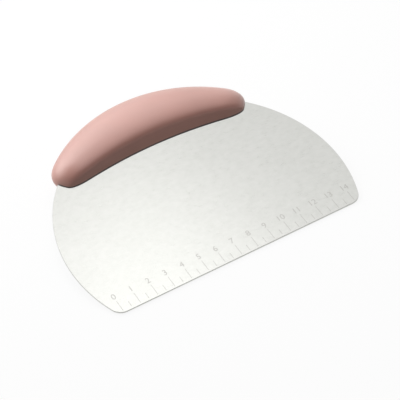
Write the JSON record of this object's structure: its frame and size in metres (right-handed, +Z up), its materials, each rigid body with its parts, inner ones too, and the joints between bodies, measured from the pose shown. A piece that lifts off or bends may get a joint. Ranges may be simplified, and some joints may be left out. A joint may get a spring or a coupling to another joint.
{
  "type": "dough cutter",
  "caption": "Half-moon steel dough cutter with a ruler along its straight edge and a soft crescent handle, for cutting, scraping and lifting dough.",
  "frame": {"origin": "on the table, under the middle of the tool's box, with the tool lying on its back", "axes": "+X along the cutting edge, left to right on the ruler; +Y from the cutting edge to the handle; +Z up, out of the ruler face"},
  "size_m": [0.1612, 0.1222, 0.0253],
  "materials": {
    "blade_steel": "fine satin sheet with an etched ruler",
    "soft_grip": "matte soft-touch skin",
    "core_plastic": "as moulded"
  },
  "bodies": {
    "root": {"blade": "blade_steel", "grip_skin": "soft_grip", "handle_core_front": "core_plastic", "handle_core_back": "core_plastic"}
  },
  "joints": []
}
